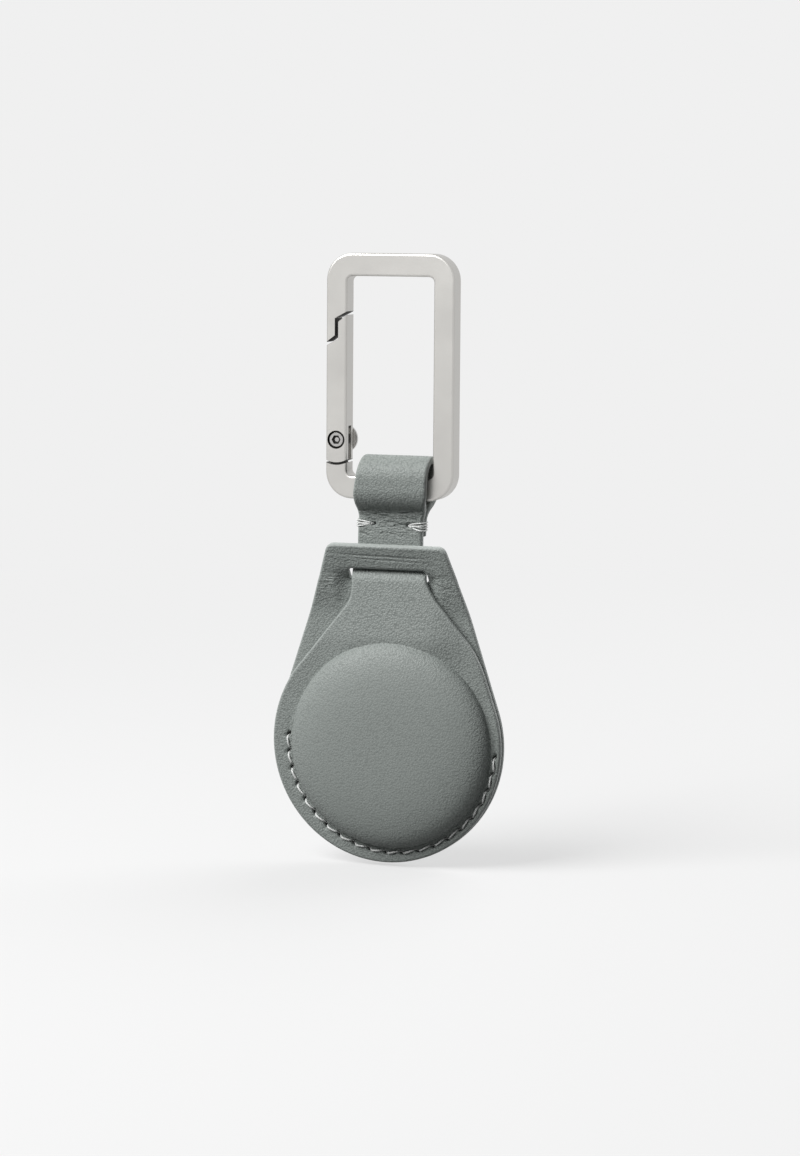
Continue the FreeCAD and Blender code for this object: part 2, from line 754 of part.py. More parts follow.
def build_rear():
    """One hide: moulded rear panel and the slotted flap that stands in front of the strap."""
    half_run = size("slot_run") / 2
    bar_y = -(1.5 * size("leather") + size("layer_gap") + size("flap_stand"))
    bar_foot = SLOT_MIDDLE + half_run
    top = FLAP_TOP + size("overrun")
    corners = [
        (REAR_MIDDLE, PANEL_FOOT),
        (REAR_MIDDLE, SLOT_MIDDLE - half_run),
        (bar_y, bar_foot),
        (bar_y - (top - bar_foot) * math.tan(math.radians(size("flap_tilt"))), top),
    ]
    hide = hide_from(bent_strip(corners, [size("strap_bend")] * 2), rear_outline())
    hide = moulded(hide.cut(strap_slot()), 0, False, 0)
    return add_piece("rear_leather", hide.cut(needle_holes(seam_points())))


def thread_run(start, end):
    """Straight piece of thread with a round end at its start."""
    radius = size("thread_radius")
    way = end - start
    return [Part.makeCylinder(radius, way.Length, start, way), Part.makeSphere(radius, start)]


def fused(pieces):
    """One solid from overlapping pieces."""
    return pieces[0].multiFuse(pieces[1:]).removeSplitter()


def build_seam(label, face_y, outward, middle_y):
    """One thread of the seam: a stitch from hole to hole, and a leg down each hole."""
    level = face_y + outward * size("thread_radius")
    holes = [Vector(x, level, z) for x, z in seam_points()]
    pieces = []
    for index, hole in enumerate(holes):
        foot = Vector(hole.x, middle_y + outward * size("layer_gap") / 4, hole.z)
        pieces += thread_run(hole, foot)
        if index:
            pieces += thread_run(hole, holes[index - 1])
    return add_piece(label, fused(pieces))


def build_tack(label, side):
    """Tack over one edge of the folded strap: two turns of thread through two holes."""
    rows = [(x, z) for x, z, outward in tack_holes() if outward == side]
    reach = size("leather") + size("layer_gap") / 2 + size("thread_radius")
    edge_x = side * (STRAP_HALF + size("thread_radius"))
    pieces = []
    for x, z in rows:
        section = ((x, -reach), (edge_x, -reach), (edge_x, reach), (x, reach))
        loop = [Vector(across, deep, z) for across, deep in section]
        for index, start in enumerate(loop):
            pieces += thread_run(start, loop[(index + 1) % len(loop)])
    pieces += thread_run(Vector(edge_x, reach, rows[0][1]), Vector(edge_x, reach, rows[1][1]))
    return add_piece(label, fused(pieces))


pieces = [build_frame(), build_gate()]
pieces += build_pivot()
pieces += [build_plunger(), build_spring(), build_front(), build_rear()]
SEAM_Y = FRONT_FACE + size("leather") + size("layer_gap") / 2
pieces.append(build_seam("seam_top_thread", FRONT_FACE, -1, SEAM_Y))
pieces.append(build_seam("seam_bobbin_thread", 0, 1, SEAM_Y))
pieces += [build_tack("tack_thread_left", -1), build_tack("tack_thread_right", 1)]
doc.recompute()

for item in doc.Objects:
    if "Invalid" in item.State or "Error" in item.State:
        raise RuntimeError(f"{item.Name} failed: {item.State}")
for piece in pieces:
    if piece.Shape.isNull() or not piece.Shape.isValid():
        raise RuntimeError(f"{piece.Label} has no valid shape")
os.makedirs("parts", exist_ok=True)
for piece in pieces:
    print(piece.Label, len(piece.Shape.Solids), "solid", round(piece.Shape.Volume, 2), "mm3")
    piece.Shape.exportStep(f"parts/{piece.Label}.step")
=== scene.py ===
import bmesh
import bpy
import numpy as np
from mathutils import Matrix, Vector


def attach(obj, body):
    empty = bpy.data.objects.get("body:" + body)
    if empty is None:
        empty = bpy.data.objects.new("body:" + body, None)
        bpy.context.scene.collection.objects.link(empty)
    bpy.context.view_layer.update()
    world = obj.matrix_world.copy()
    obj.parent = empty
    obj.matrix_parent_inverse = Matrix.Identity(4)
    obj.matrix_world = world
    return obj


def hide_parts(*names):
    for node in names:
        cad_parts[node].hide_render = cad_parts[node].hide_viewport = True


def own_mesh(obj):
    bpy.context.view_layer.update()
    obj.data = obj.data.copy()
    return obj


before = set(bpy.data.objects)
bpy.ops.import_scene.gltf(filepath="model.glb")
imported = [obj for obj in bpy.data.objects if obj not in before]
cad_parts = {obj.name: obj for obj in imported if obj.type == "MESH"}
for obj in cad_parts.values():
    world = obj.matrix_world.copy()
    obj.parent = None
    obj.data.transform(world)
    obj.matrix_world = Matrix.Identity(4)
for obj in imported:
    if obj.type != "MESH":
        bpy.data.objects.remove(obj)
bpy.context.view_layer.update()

# Carabiner bar and gate: a bent bar of cast zinc alloy and its swinging side, with narrowly rounded edges,
# blasted to a fine satin and plated in pale nickel. The bar carries the strap's loop, and the gate turns on a
# pin in its foot. The faces inside the nose joint and the foot joint are rougher and darkened with painted
# shade of the gaps, and the screw's counterbore is rougher and painted nearly black as shade.
nickel_light = (0.57, 0.56, 0.537, 1.0)
nickel_dark = (0.51, 0.50, 0.48, 1.0)
# Painted shade: dark colours for the joint faces and the counterbore, standing in for the shade in the gaps.
nickel_joint_shade = (0.13, 0.127, 0.122, 1.0)
nickel_recess_shade = (0.045, 0.043, 0.040, 1.0)
nickel_roughness, cloud_roughness, blast_roughness, joint_roughness = 0.30, 0.10, 0.06, 0.25
blast_scale, blast_depth, cloud_scale = 5200.0, 0.000004, 140.0
pin_axis_x, pin_axis_z = -0.0099, -0.0287
bar_face_y = -0.0019
counterbore = 0.0016
foot_gap, foot_drop = (0.0040, 0.0044), 0.002
joint_margin = 0.00003
nose_step_x, nose_step_z = -0.0099, (-0.0074, -0.0110)
nose_half = 0.00033
nose_inner_x, nose_inner_z = -0.0080, -0.0065
nose_outer_x, nose_outer_z = -0.0118, -0.0119
nose_slope, nose_spread = 0.648, 0.103


class Reading:
    """A value that a material reads at each point; sums and products of readings add Math nodes."""

    def __init__(self, nodes, socket):
        self.nodes = nodes
        self.socket = socket

    def combine(self, operation, first, second):
        return self.nodes.add("ShaderNodeMath", {"operation": operation}, {0: first, 1: second})

    def __abs__(self):
        return self.combine("ABSOLUTE", self, 0.0)

    def __lt__(self, other):
        return self.combine("LESS_THAN", self, other)

    def __gt__(self, other):
        return self.combine("GREATER_THAN", self, other)

    def __add__(self, other):
        return self.combine("ADD", self, other)

    def __sub__(self, other):
        return self.combine("SUBTRACT", self, other)

    def __rsub__(self, other):
        return self.combine("SUBTRACT", other, self)

    def __mul__(self, other):
        return self.combine("MULTIPLY", self, other)

    __radd__ = __add__
    __rmul__ = __mul__


class Nodes:
    """A node tree whose nodes are added one call each."""

    def __init__(self, tree):
        self.tree = tree

    def feed(self, socket, value):
        """Links a reading to a socket, or sets the socket's own value."""
        if isinstance(value, Reading):
            self.tree.links.new(value.socket, socket)
        else:
            socket.default_value = value

    def add(self, kind, settings, inputs, output=0):
        """Adds a node, sets it up, gives its sockets values or links, and returns one output."""
        node = self.tree.nodes.new(kind)
        for setting, value in settings.items():
            setattr(node, setting, value)
        for socket, value in inputs.items():
            self.feed(node.inputs[socket], value)
        return Reading(self, node.outputs[output])

    def noise(self, place, scale, detail=2.0, roughness=0.5):
        """Clouds from 0 to 1, with about scale of them to a metre."""
        return self.add("ShaderNodeTexNoise", {}, {
            "Vector": place, "Scale": scale, "Detail": detail, "Roughness": roughness})

    def ramp(self, value, low, high):
        """0 below low, 1 above high, and a smooth step between them."""
        return self.add("ShaderNodeMapRange", {"interpolation_type": "SMOOTHSTEP"}, {
            "Value": value, "From Min": low, "From Max": high})

    def mixed(self, share, first, second):
        """The first colour where share is 0, the second where it is 1."""
        return self.add("ShaderNodeMix", {"data_type": "RGBA"}, {0: share, 6: first, 7: second}, 2)


class Finish(Nodes):
    """A material: one Principled shader, its constants, and what varies over the surface."""

    def __init__(self, name, constants):
        self.material = bpy.data.materials.new(name)
        self.material.use_nodes = True
        super().__init__(self.material.node_tree)
        self.shader = self.tree.nodes["Principled BSDF"]
        self.set(constants)
        self.place = self.add("ShaderNodeTexCoord", {}, {}, "Object")

    def set(self, inputs):
        """Gives the shader's sockets values or links."""
        for socket, value in inputs.items():
            self.feed(self.shader.inputs[socket], value)

    def raise_by(self, height, depth):
        """Bumps the surface by a height from 0 to 1 that stands for a depth in metres."""
        self.set({"Normal": self.add("ShaderNodeBump", {}, {"Height": height, "Distance": depth})})

    def axis(self, letter):
        """One coordinate of the point, in metres."""
        return self.add("ShaderNodeSeparateXYZ", {}, {0: self.place}, letter)

    def from_axis(self, x, z):
        """Distance from the line along Y through (x, z), in metres."""
        moved = self.add("ShaderNodeMapping", {}, {
            "Vector": self.place, "Location": (-x, 0.0, -z), "Scale": (1.0, 0.0, 1.0)})
        return self.add("ShaderNodeVectorMath", {"operation": "LENGTH"}, {0: moved}, "Value")

    def dress(self, *nodes):
        """Gives nodes of the frame this material and no other."""
        for node in nodes:
            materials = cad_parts[node].data.materials
            materials.clear()
            materials.append(self.material)


satin = Finish("satin_nickel", {"Metallic": 1.0})
blast = satin.noise(satin.place, blast_scale)
cloud = satin.noise(satin.place, cloud_scale, detail=4.0)
across, depth, rise = satin.axis("X"), satin.axis("Y"), satin.axis("Z")
pin_distance = satin.from_axis(pin_axis_x, pin_axis_z)
inwards, outwards = nose_inner_x - across, across - nose_outer_x
inner_run = abs(rise - nose_inner_z + nose_slope * inwards) < nose_half + nose_spread * inwards
outer_run = abs(rise - nose_outer_z - nose_slope * outwards) < nose_half + nose_spread * outwards
step_run = (abs(across - nose_step_x) < nose_half) * (rise < nose_step_z[0]) * (rise > nose_step_z[1])
nose_joint = (
    inner_run * (across > nose_step_x) * (across < 0.0) + outer_run * (across < nose_step_x) + step_run)
foot_joint = (
    (pin_distance > foot_gap[0] - joint_margin) * (pin_distance < foot_gap[1] + joint_margin)
    * (rise < pin_axis_z - foot_drop))
screw_seat_shade = (pin_distance < counterbore + joint_margin) * (depth > bar_face_y + joint_margin)
# Painted shade: the joint faces and the counterbore are darkened in colour where shade falls in the gaps.
joint_shade = satin.ramp(nose_joint + foot_joint, 0.0, 1.0)
dulled = satin.ramp(joint_shade + screw_seat_shade, 0.0, 1.0)
plated = satin.mixed(joint_shade, satin.mixed(cloud, nickel_dark, nickel_light), nickel_joint_shade)
satin.set({
    "Base Color": satin.mixed(screw_seat_shade, plated, nickel_recess_shade),
    "Roughness": (
        nickel_roughness + cloud_roughness * cloud + blast_roughness * blast + joint_roughness * dulled),
})
satin.raise_by(blast, blast_depth)
satin.dress("carabiner_frame", "gate")

# Hinge pin: a headed barrel from behind and a socket-headed screw from the front, turned from steel and
# screwed together through the gate's cheeks and the bar's tongue. The turning leaves fine rings on the heads.
# The socket, but for its small middle, and the head's side in the counterbore are painted nearly black as
# shade.
pin_steel = (0.58, 0.57, 0.56, 1.0)
pin_scuffed = (0.44, 0.43, 0.42, 1.0)
# Painted shade: a near black colour for the inside of the socket and the head's side in the counterbore.
pin_recess_shade = (0.035, 0.034, 0.032, 1.0)
pin_roughness, scuff_roughness, recess_roughness = 0.20, 0.14, 0.25
scuff_scale, ring_waves, ring_depth = 900.0, 52000.0, 0.000004
screw_face_y, socket_margin, wall_margin = -0.0018, 0.00004, 0.00012
screw_side, socket_side, socket_glint = 0.00131, 0.00086, 0.00038

turned = Finish("turned_pin", {"Metallic": 1.0})
ring_distance, depth = turned.from_axis(pin_axis_x, pin_axis_z), turned.axis("Y")
rings = turned.add("ShaderNodeMath", {"operation": "SINE"}, {0: ring_waves * ring_distance})
scuff = turned.noise(turned.place, scuff_scale, detail=3.0)
# Painted shade: the socket, but for its small middle, and the head's side are painted nearly black as shade.
head = depth < 0.0
socket_inside = (
    (ring_distance < socket_side) * (ring_distance > socket_glint) * (depth > screw_face_y + socket_margin))
head_wall = (ring_distance > screw_side) * (depth > screw_face_y + wall_margin)
recess_shade = turned.ramp(head * (socket_inside + head_wall), 0.0, 1.0)
turned.set({
    "Base Color": turned.mixed(recess_shade, turned.mixed(scuff, pin_scuffed, pin_steel), pin_recess_shade),
    "Roughness": pin_roughness + scuff_roughness * scuff + recess_roughness * recess_shade,
})
turned.raise_by(0.5 + 0.5 * rings, ring_depth)
turned.dress("pivot_barrel", "pivot_screw")

# Plunger and coil spring: hard drawn steel inside the gate's foot. The spring presses the round-ended
# plunger on the tongue's cam and so closes the gate, and it shortens as the plunger goes in. Both have a
# trace of oil.
drawn_steel = (0.52, 0.52, 0.51, 1.0)
oiled_steel = (0.40, 0.39, 0.37, 1.0)
steel_roughness, oil_roughness, oil_scale = 0.22, 0.16, 1500.0
millimetre = 0.001
spring_x, spring_coil, spring_wire = -9.9, 0.55, 0.10
spring_foot, spring_end, spring_turns = -24.13, -19.33, 6
turn_points, wire_sides = 24, 10


def grid_quads(rows, columns, closed):
    """Corner numbers of a grid's quads: each point with its neighbours in the next column and row."""
    index = np.arange(rows * columns).reshape(rows, columns)
    if closed:
        index = np.hstack([index, index[:, :1]])
    corners = [index[:-1, :-1], index[:-1, 1:], index[1:, 1:], index[1:, :-1]]
    return np.stack(corners, axis=-1).reshape(-1, 4)


class Shell:
    """Grids of points in millimetres that close one piece when their shared borders are joined."""

    def __init__(self):
        self.points, self.quads, self.count = [], [], 0
        self.marks = {"edge": [], "pierced": [], "crumpled": []}

    def add(self, grid, closed=False, **marks):
        """Adds a grid, closed round if asked, with a value from 0 to 1 for each mark that it has."""
        rows, columns = grid.shape[:2]
        self.quads.append(self.count + grid_quads(rows, columns, closed))
        self.points.append(grid.reshape(-1, 3))
        for mark, values in self.marks.items():
            values.append(np.broadcast_to(marks.get(mark, 0.0), (rows, columns)).reshape(-1))
        self.count += rows * columns

    def piece(self, name, finish):
        """Joins points that agree to a micrometre, makes triangles of quads with two equal corners, and turns
        the faces outwards. Attributes mark painted edges, needle slits and crumpled leather with 1."""
        points, quads = np.vstack(self.points), np.vstack(self.quads)
        kept, first, number = np.unique(
            np.round(points, 3), axis=0, return_index=True, return_inverse=True)
        corners = number.reshape(-1)[quads]
        apart = corners != np.roll(corners, -1, axis=1)
        sides = apart.sum(axis=1)
        threes = corners[sides == 3][apart[sides == 3]].reshape(-1, 3)
        mesh = bpy.data.meshes.new(name)
        mesh.from_pydata(kept * millimetre, [], corners[sides == 4].tolist() + threes.tolist())
        for mark, values in self.marks.items():
            attribute = mesh.attributes.new(mark, "FLOAT", "POINT")
            attribute.data.foreach_set("value", np.concatenate(values)[first])
        work = bmesh.new()
        work.from_mesh(mesh)
        bmesh.ops.recalc_face_normals(work, faces=work.faces)
        work.to_mesh(mesh)
        work.free()
        mesh.shade_smooth()
        mesh.materials.append(finish.material)
        made = bpy.data.objects.new(name, mesh)
        bpy.context.scene.collection.objects.link(made)
        return made


def tube(middle, normal, radius, sides):
    """Round tube along a line, from a radius for each of its points and sides, closed at both ends. Its first
    side faces the normal."""
    ahead = np.gradient(middle, axis=0)
    ahead = ahead / np.linalg.norm(ahead, axis=1)[:, None]
    side = np.cross(ahead, normal)
    side = side / np.linalg.norm(side, axis=1)[:, None]
    up = np.cross(side, ahead)
    angle = np.linspace(0, 2 * np.pi, sides, endpoint=False)
    around = np.cos(angle)[None, :, None] * up[:, None] + np.sin(angle)[None, :, None] * side[:, None]
    ends = [np.broadcast_to(middle[i], (1, sides, 3)) for i in (0, -1)]
    return np.vstack([ends[0], middle[:, None] + radius[..., None] * around, ends[1]])


drawn = Finish("drawn_spring_steel", {"Metallic": 1.0})
oil = drawn.noise(drawn.place, oil_scale, detail=3.0)
drawn.set({
    "Base Color": drawn.mixed(oil, drawn_steel, oiled_steel),
    "Roughness": steel_roughness + oil_roughness * oil,
})
drawn.dress("gate_plunger")

turn = np.linspace(0, spring_turns, turn_points * spring_turns + 1)
coil = np.stack([
    spring_x + spring_coil * np.cos(2 * np.pi * turn), spring_coil * np.sin(2 * np.pi * turn),
    spring_foot + (spring_end - spring_foot) * turn / spring_turns], axis=1)
spring = Shell()
wire = np.full((len(coil), wire_sides), spring_wire)
spring.add(tube(coil, np.array([0.0, 0.0, 1.0]), wire, wire_sides), closed=True)
spring_piece = spring.piece("closing_spring", drawn)
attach(spring_piece, "gate")
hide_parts("gate_spring")
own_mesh(spring_piece)

# Front hide: one piece of 1.4 mm calf, moulded wet over a round form for the tag and cut with a neck and a
# long strap. Its edges are painted. The strap goes back through the rear hide's slot, round the bar and down
# to its tail.

# Its outline, in millimetres.
hide = 1.4
edge_round, edge_square, paint_cover = 0.45, 2.6, 1.25
dome_x, dome_z = 1.0, -82.1
dome_foot, dome_foot_inside, dome_crown, dome_fullness = 18.35, 16.95, 4.4, 3.0
panel_radius = 21.2
neck_x, neck_z, neck_radius = 15.85, -52.0, 9.0
neck_angle = np.radians(39.5)
neck_reach = neck_x * np.cos(neck_angle) + (neck_z - dome_z) * np.sin(neck_angle) - neck_radius
neck_shift, neck_shift_band, shoulder_round = 1.5, (50.5, 59.0), 1.5
neck_bend, neck_bend_band = 0.7, (6.0, 14.0)
slant_least = 0.2
strap_half = 6.85
waist_depth, waist_heights = 0.86, [-51.0, -48.4, -42.2, -38.0]
crest_pinch, crest_pinch_reach = 0.45, 12.0
crest_shift, crest_shift_reach = 1.2, 17.5
flap_corner, flap_corner_x, flap_corner_z = 1.6, 9.65, -48.35
flap_away = np.hypot(flap_corner_x, flap_corner_z - dome_z)
flap_angle = (
    np.arctan2(flap_corner_z - dome_z, flap_corner_x) - np.arccos((panel_radius - flap_corner) / flap_away))
cut_z, below_cut = -60.8, 5.0
panel_y, slot_foot_z, loop_shoulder_z = -2.2, -52.5, -37.5
front_corners = [
    (panel_y, -105.3), (panel_y, -74.2), (-3.6, -63.7), (-2.25, -53.0), (-0.75, -51.0), (-0.75, -40.69),
    (-3.45, -38.80), (-3.45, -31.9), (3.45, -31.9), (3.45, -38.80), (0.75, -40.69), (0.75, -45.6)]
front_bends = [9.0, 9.0, 1.9, 1.1, 2.2, 3.45, 3.45, 3.45, 3.45, 2.2]

# What sewing leaves in it: the seam's groove, slits and puckers, and the needle holes of the tacks.
seam_radius, seam_stitches = 19.25, 20
seam_start, seam_end = np.radians(177.5), np.radians(356.5)
seam_rows = np.linspace(18.62, 19.70, 15)
groove_depth, groove_width = 0.10, 0.32
slit_depth, slit_length, slit_width = 0.95, 0.50, 0.24
pucker_height, pucker_inset, pucker_width = 0.14, 0.58, 0.24
needle_dark, slit_dark_from, pit_dark_from = 3.0, 0.6, 1.1
stitch_fade = 0.30
sewn_gap, sewn_fade, sewn_band, sewn_margin = 0.08, 0.12, (17.4, 18.6), 0.4
tack_holes = ((-3.05, -43.3), (3.35, -43.45))
tack_pit_length, tack_pit_width, tack_pit_depth = 0.42, 0.30, 0.75

# Where the strap is crumpled, and how fine its grids are.
crumple_low, crumple_high, crease_fade = -46.5, -39.2, 0.08
folded_band, slot_fold_band, slot_fold = (-46.2, -39.2), (-53.5, -50.5), 0.35
rays_per_stitch, front_side_rays, strap_columns = 18, 72, 71
neck_rows, crumple_rows, loop_rows = 46, 66, 84

# Colours and grain of the leather, in metres, with the grain flatter where the dome stretches it.
hide_colour = (0.258, 0.281, 0.267, 1.0)
hide_pale = (0.274, 0.298, 0.284, 1.0)
hide_pit = (0.205, 0.224, 0.213, 1.0)
# Painted shade: a near black colour inside the needle slits and the tack holes.
hide_slit_shade = (0.012, 0.013, 0.012, 1.0)
# The edge paint is lighter than the hide: real paint, lightened further as a painted highlight on the rounded
# edges.
edge_paint_and_highlight = (0.400, 0.428, 0.412, 1.0)
hide_gloss = 0.27
pebble_scale, fibre_scale, mottle_scale, wrinkle_scale = 3000.0, 5200.0, 420.0, 1150.0
pebble_smoothness, fibre_height, painted_flatness = 0.4, 0.5, 0.75
wrinkle_stretch, wrinkle_height, grain_depth = 0.42, 14.0, 0.00009
pit_low, pit_high, pit_fibre = 0.55, 0.95, 0.35
taut_grain, taut_radius, slack_radius = 0.55, 0.014, 0.019
hide_roughness, pit_roughness, mottle_roughness, paint_gloss = 0.40, 0.14, 0.06, 0.10


def bent(corners, bends, step=0.02):
    """Length, place and heading along straight runs that tangent arcs join. The heading turns evenly with
    length in an arc and stays in a run; the place is the running sum of the steps along the heading."""
    corners, bends = np.array(corners), np.array(bends)
    runs = np.diff(corners, axis=0)
    headings = np.unwrap(np.arctan2(runs[:, 1], runs[:, 0]))
    turns = np.abs(np.diff(headings))
    cuts = bends * np.tan(turns / 2)
    lengths = np.zeros(2 * len(runs) - 1)
    lengths[0::2] = np.hypot(*runs.T) - np.append(cuts, 0) - np.append(0, cuts)
    lengths[1::2] = bends * turns
    knots = np.append(0, np.cumsum(lengths))
    length = np.append(np.arange(0, knots[-1], step), knots[-1])
    middle = np.interp((length[1:] + length[:-1]) / 2, knots, np.repeat(headings, 2))
    steps = np.diff(length)[:, None] * np.stack([np.cos(middle), np.sin(middle)], axis=1)
    place = corners[0] + np.vstack([np.zeros(2), np.cumsum(steps, axis=0)])
    return length, place, np.interp(length, knots, np.repeat(headings, 2))


def laid(path, x, along, lift, push=0.0):
    """Point of a hide: across by x, along its bent middle, lifted square to it, then pushed along Y."""
    length, place, heading = path
    y = np.interp(along, length, place[:, 0])
    z = np.interp(along, length, place[:, 1])
    turn = np.interp(along, length, heading)
    return np.stack(
        np.broadcast_arrays(x, y - lift * np.sin(turn) + push, z + lift * np.cos(turn)), axis=-1)


def length_at(path, z):
    """Length along a hide's middle at which its first rise reaches the height z."""
    length, place, heading = path
    top = np.argmax(place[:, 1]) + 1
    return np.interp(z, place[:top, 1], length[:top])


def height_at(path, along):
    """Height of a hide's middle at a length along it."""
    length, place, heading = path
    return np.interp(along, length, place[:, 1])


def around_dome(radius, angle):
    """Place at a distance and an angle from the dome's middle."""
    return dome_x + radius * np.cos(angle), dome_z + radius * np.sin(angle)


def curve(start, first, second, end, count):
    """Cubic Bezier curve from start to end."""
    t = np.linspace(0, 1, count)[:, None]
    a, b, c, d = (np.array(p) for p in (start, first, second, end))
    return (1 - t) ** 3 * a + 3 * t * (1 - t) ** 2 * b + 3 * t ** 2 * (1 - t) * c + t ** 3 * d


def dome_profile(foot, crown, fullness, steepness=2.6, fillet=0.22, pull=0.05, rows=36):
    """Radius and height of a moulded dome from its foot to the middle: a small fillet, then the superellipse
    (radius / foot) ** fullness + (height / crown) ** steepness = 1."""
    angle = np.linspace(np.arccos((fillet / crown) ** (steepness / 2)), 0, rows)
    swell = np.stack([
        foot * np.sin(angle) ** (2 / fullness), crown * np.cos(angle) ** (2 / steepness)], axis=1)
    base = curve((foot + fillet, 0.0), (foot + pull, 0.0), (foot, pull), swell[0], count=5)
    return np.vstack([base[:-1], swell])


def height_in(profile, radius):
    """Height of a dome's profile at a radius, 0 outside its foot."""
    return np.interp(radius, profile[::-1, 0], profile[::-1, 1], right=0.0)


def edge_section(count=9):
    """Way out and lift of a painted edge from face to face: a superellipse with rounded corners."""
    angle = np.linspace(np.pi / 2, -np.pi / 2, count)[:, None]
    out = edge_round * np.abs(np.cos(angle)) ** (2 / edge_square)
    lift = hide / 2 * np.sign(np.sin(angle)) * np.abs(np.sin(angle)) ** (2 / edge_square)
    out[[0, -1]] = 0.0
    return out, lift


def painted_edge(lift):
    """How much paint covers an edge at a lift: all round its middle, and less towards its two corners."""
    return np.clip(paint_cover - np.abs(lift) / (hide / 2), 0, 1)


def smooth_step(value, low, high):
    """0 at low, 1 at high, with level ends."""
    share = np.clip((value - low) / (high - low), 0, 1)
    return share ** 2 * (3 - 2 * share)


def stitch_marks(radius, angle, across_sign=1.0):
    """How deep the seam presses a hide, and where it is pierced and painted dark as shade: a shallow groove,
    a slanted needle slit at each stitch end, and a pucker that stands up between them on the dome's side,
    each a bell across."""
    stitch = (angle - seam_start) / (seam_end - seam_start) * seam_stitches
    nearest = np.clip(np.round(stitch), 0, seam_stitches)
    pitch = seam_radius * (seam_end - seam_start) / seam_stitches
    along = (stitch - nearest) * pitch
    across = radius - seam_radius
    long_way = (along + across_sign * across) / np.sqrt(2)
    short_way = (along - across_sign * across) / np.sqrt(2)
    inside = (np.abs(along) < pitch).astype(float)
    groove = groove_depth * np.exp(-(across / groove_width) ** 2) * inside
    slit = np.exp(-(long_way / slit_length) ** 2 - (short_way / slit_width) ** 2)
    pucker = pucker_height * np.exp(-((across + pucker_inset) / pucker_width) ** 2) * (
        np.cos(np.pi * stitch) ** 2 * inside)
    return groove + slit_depth * slit - pucker, np.clip(needle_dark * slit - slit_dark_from, 0, 1)


def sewn_together(radius, angle, reach):
    """How far the inside of each hide comes forward to meet the other under the seam, fading past its two
    ends, on the dome's side and at the painted edge."""
    inside = smooth_step(angle, seam_start - sewn_fade, seam_start) * (
        smooth_step(-angle, -seam_end - sewn_fade, -seam_end))
    return sewn_gap * inside * smooth_step(radius, *sewn_band) * smooth_step(reach - radius, 0.0, sewn_margin)


def strokes(seed, count, x_range, z_range, half_length, half_width, depth, tilt):
    """Short creases scattered in a region: centre, half length, half width, depth and tilt of each."""
    draw = np.random.default_rng(seed)
    ranges = (x_range, z_range, half_length, half_width, depth, (-tilt, tilt))
    return np.stack([draw.uniform(*limits, count) for limits in ranges], axis=1)


def creased(x, z, lines):
    """Depth of a set of creases at (x, z): each is a bell across its line that fades at its ends."""
    total = np.zeros(np.broadcast(x, z).shape)
    for x0, z0, half_length, half_width, depth, tilt in lines:
        along = (x - x0) * np.cos(tilt) + (z - z0) * np.sin(tilt)
        across = (z - z0) * np.cos(tilt) - (x - x0) * np.sin(tilt)
        total += depth * np.exp(-(across / half_width) ** 2 - (along / half_length) ** 4)
    return total


def bump(value, low, high):
    """Raised cosine: 0 at low and high, 1 halfway between."""
    share = np.clip((value - low) / (high - low), 0, 1)
    return 0.5 - 0.5 * np.cos(2 * np.pi * share)


leather = Finish("calf_leather", {"Specular IOR Level": hide_gloss})
painted, pierced, crumpled = (
    leather.add("ShaderNodeAttribute", {"attribute_name": mark}, {}, "Fac")
    for mark in ("edge", "pierced", "crumpled"))
pebbles = leather.add("ShaderNodeTexVoronoi", {"feature": "SMOOTH_F1"}, {
    "Vector": leather.place, "Scale": pebble_scale, "Smoothness": pebble_smoothness})
fibre = leather.noise(leather.place, fibre_scale, detail=3.0, roughness=0.6)
mottle = leather.noise(leather.place, mottle_scale, detail=4.0, roughness=0.6)
long_folds = leather.add("ShaderNodeMapping", {}, {
    "Vector": leather.place, "Scale": (wrinkle_stretch, 1.0, 1.0)})
wrinkle = abs(leather.noise(long_folds, wrinkle_scale, detail=3.0, roughness=0.55) - 0.5)
pit = leather.ramp(pebbles + pit_fibre * fibre, pit_low, pit_high)
dome_distance = leather.from_axis(millimetre * dome_x, millimetre * dome_z)
slack = taut_grain + (1.0 - taut_grain) * leather.ramp(dome_distance, taut_radius, slack_radius)
face = leather.mixed(mottle, hide_colour, hide_pale)
grained = leather.mixed(pit * slack, face, hide_pit)
# Painted shade: the needle slits and tack holes are painted nearly black where shade falls in them.
leather.set({
    # The painted edges' lighter colour is partly a painted highlight.
    "Base Color": leather.mixed(pierced, leather.mixed(painted, grained, edge_paint_and_highlight), hide_slit_shade),
    "Roughness": hide_roughness + pit_roughness * pit + mottle_roughness * mottle - paint_gloss * painted,
})
grain = (1.0 - pebbles + fibre_height * fibre) * (1.0 - painted_flatness * painted) * slack
leather.raise_by(grain + wrinkle_height * crumpled * wrinkle, grain_depth)

front_path = bent(front_corners, front_bends)
loop_crest = front_path[0][np.argmax(front_path[1][:, 1])]
dome_outer = dome_profile(dome_foot, dome_crown, dome_fullness)
dome_inner = dome_profile(dome_foot_inside, dome_crown, dome_fullness)[::2]


def pocket_reach(angle):
    """Distance from the dome's middle to the pocket's inset outline: the panel's circle, and above it the
    flap's two sides, which leave the circle as tangents."""
    radius = panel_radius - edge_round
    circle = np.sqrt(radius ** 2 - (dome_x * np.sin(angle)) ** 2) - dome_x * np.cos(angle)
    side = np.where(np.cos(angle) > 0, 1.0, -1.0)
    line = (radius - side * dome_x * np.cos(flap_angle)) / (
        side * np.cos(angle) * np.cos(flap_angle) + np.sin(angle) * np.sin(flap_angle))
    return np.where(circle * np.sin(angle) > radius * np.sin(flap_angle), line, circle)


